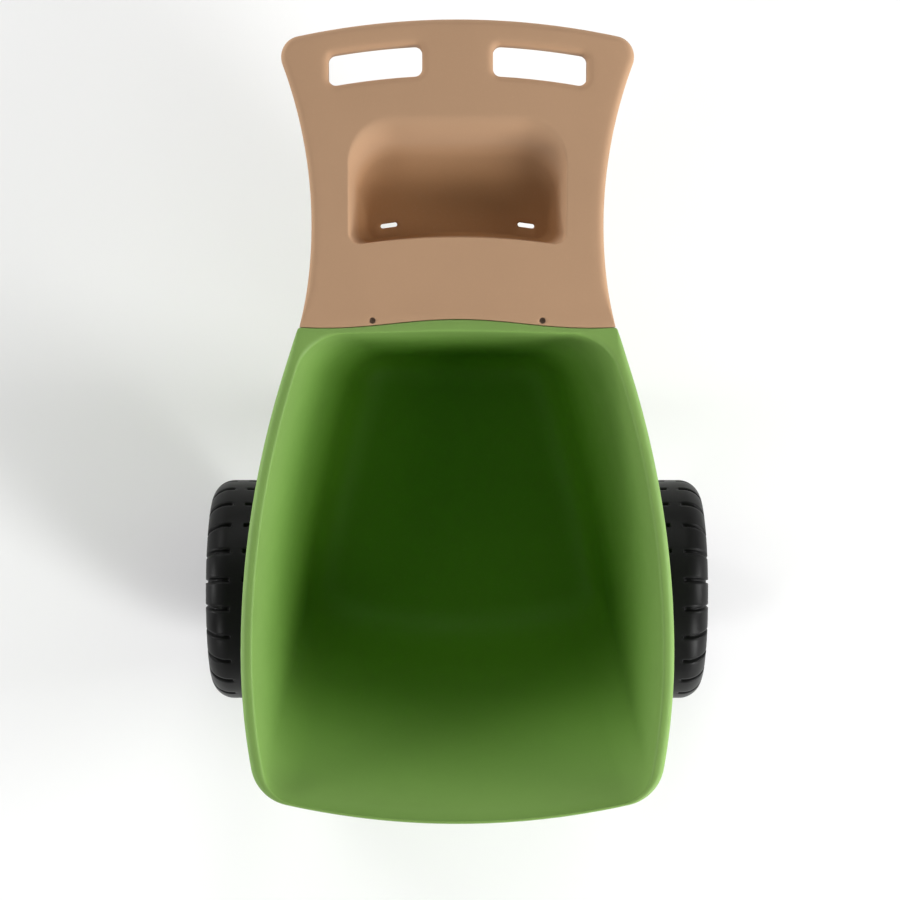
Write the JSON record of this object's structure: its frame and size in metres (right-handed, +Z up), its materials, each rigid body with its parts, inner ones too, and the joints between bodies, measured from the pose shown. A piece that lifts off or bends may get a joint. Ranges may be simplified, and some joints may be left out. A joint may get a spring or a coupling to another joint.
{
  "type": "yard cart",
  "caption": "Two-wheeled moulded yard cart: a deep tub with a sloped pouring front, and a raised handle panel with hand slots and a tool tray.",
  "frame": {"origin": "on the ground, under the middle of the overall length and width", "axes": "+Y from the front lip to the handle, +Z up, and +X to the right when the cart is seen from above with its handle at the top"},
  "size_m": [0.7938, 1.1748, 0.6711],
  "materials": {
    "green_plastic": "satin moulded polyethylene, garden green",
    "tan_plastic": "satin moulded polyethylene, warm tan",
    "wheel_plastic": "black moulded plastic, slight sheen on the tread",
    "black_plastic": "black moulded plastic, fine grain",
    "nylon": "natural nylon",
    "zinc_steel": "bright zinc plate",
    "axle_steel": "drawn steel",
    "dark_steel": "dark bronze coated steel"
  },
  "bodies": {
    "cart": {"tub": "green_plastic", "handle_panel": "tan_plastic", "seam_screws": "dark_steel", "handle_bolts": "zinc_steel", "handle_bolt_washers": "zinc_steel", "axle": "axle_steel", "axle_bracket_left": "black_plastic", "axle_bracket_right": "black_plastic", "bracket_screws": "zinc_steel", "spacer_left": "black_plastic", "spacer_right": "black_plastic", "inner_washers": "zinc_steel", "outer_washers": "zinc_steel", "cap_nuts": "zinc_steel", "rear_leg_left": "black_plastic", "rear_leg_right": "black_plastic", "leg_screws": "zinc_steel"},
    "left_wheel": {"wheel_left": "wheel_plastic", "bushings_left": "nylon", "hub_cap_left": "black_plastic"},
    "right_wheel": {"wheel_right": "wheel_plastic", "bushings_right": "nylon", "hub_cap_right": "black_plastic"}
  },
  "joints": [
    {"name": "left_wheel_spin", "type": "hinge", "parent": "cart", "child": "left_wheel", "pos_m": [-0.3469, -0.26377, 0.1778], "axis": [1, 0, 0], "continuous": true},
    {"name": "right_wheel_spin", "type": "hinge", "parent": "cart", "child": "right_wheel", "pos_m": [0.3469, -0.26377, 0.1778], "axis": [1, 0, 0], "continuous": true}
  ]
}
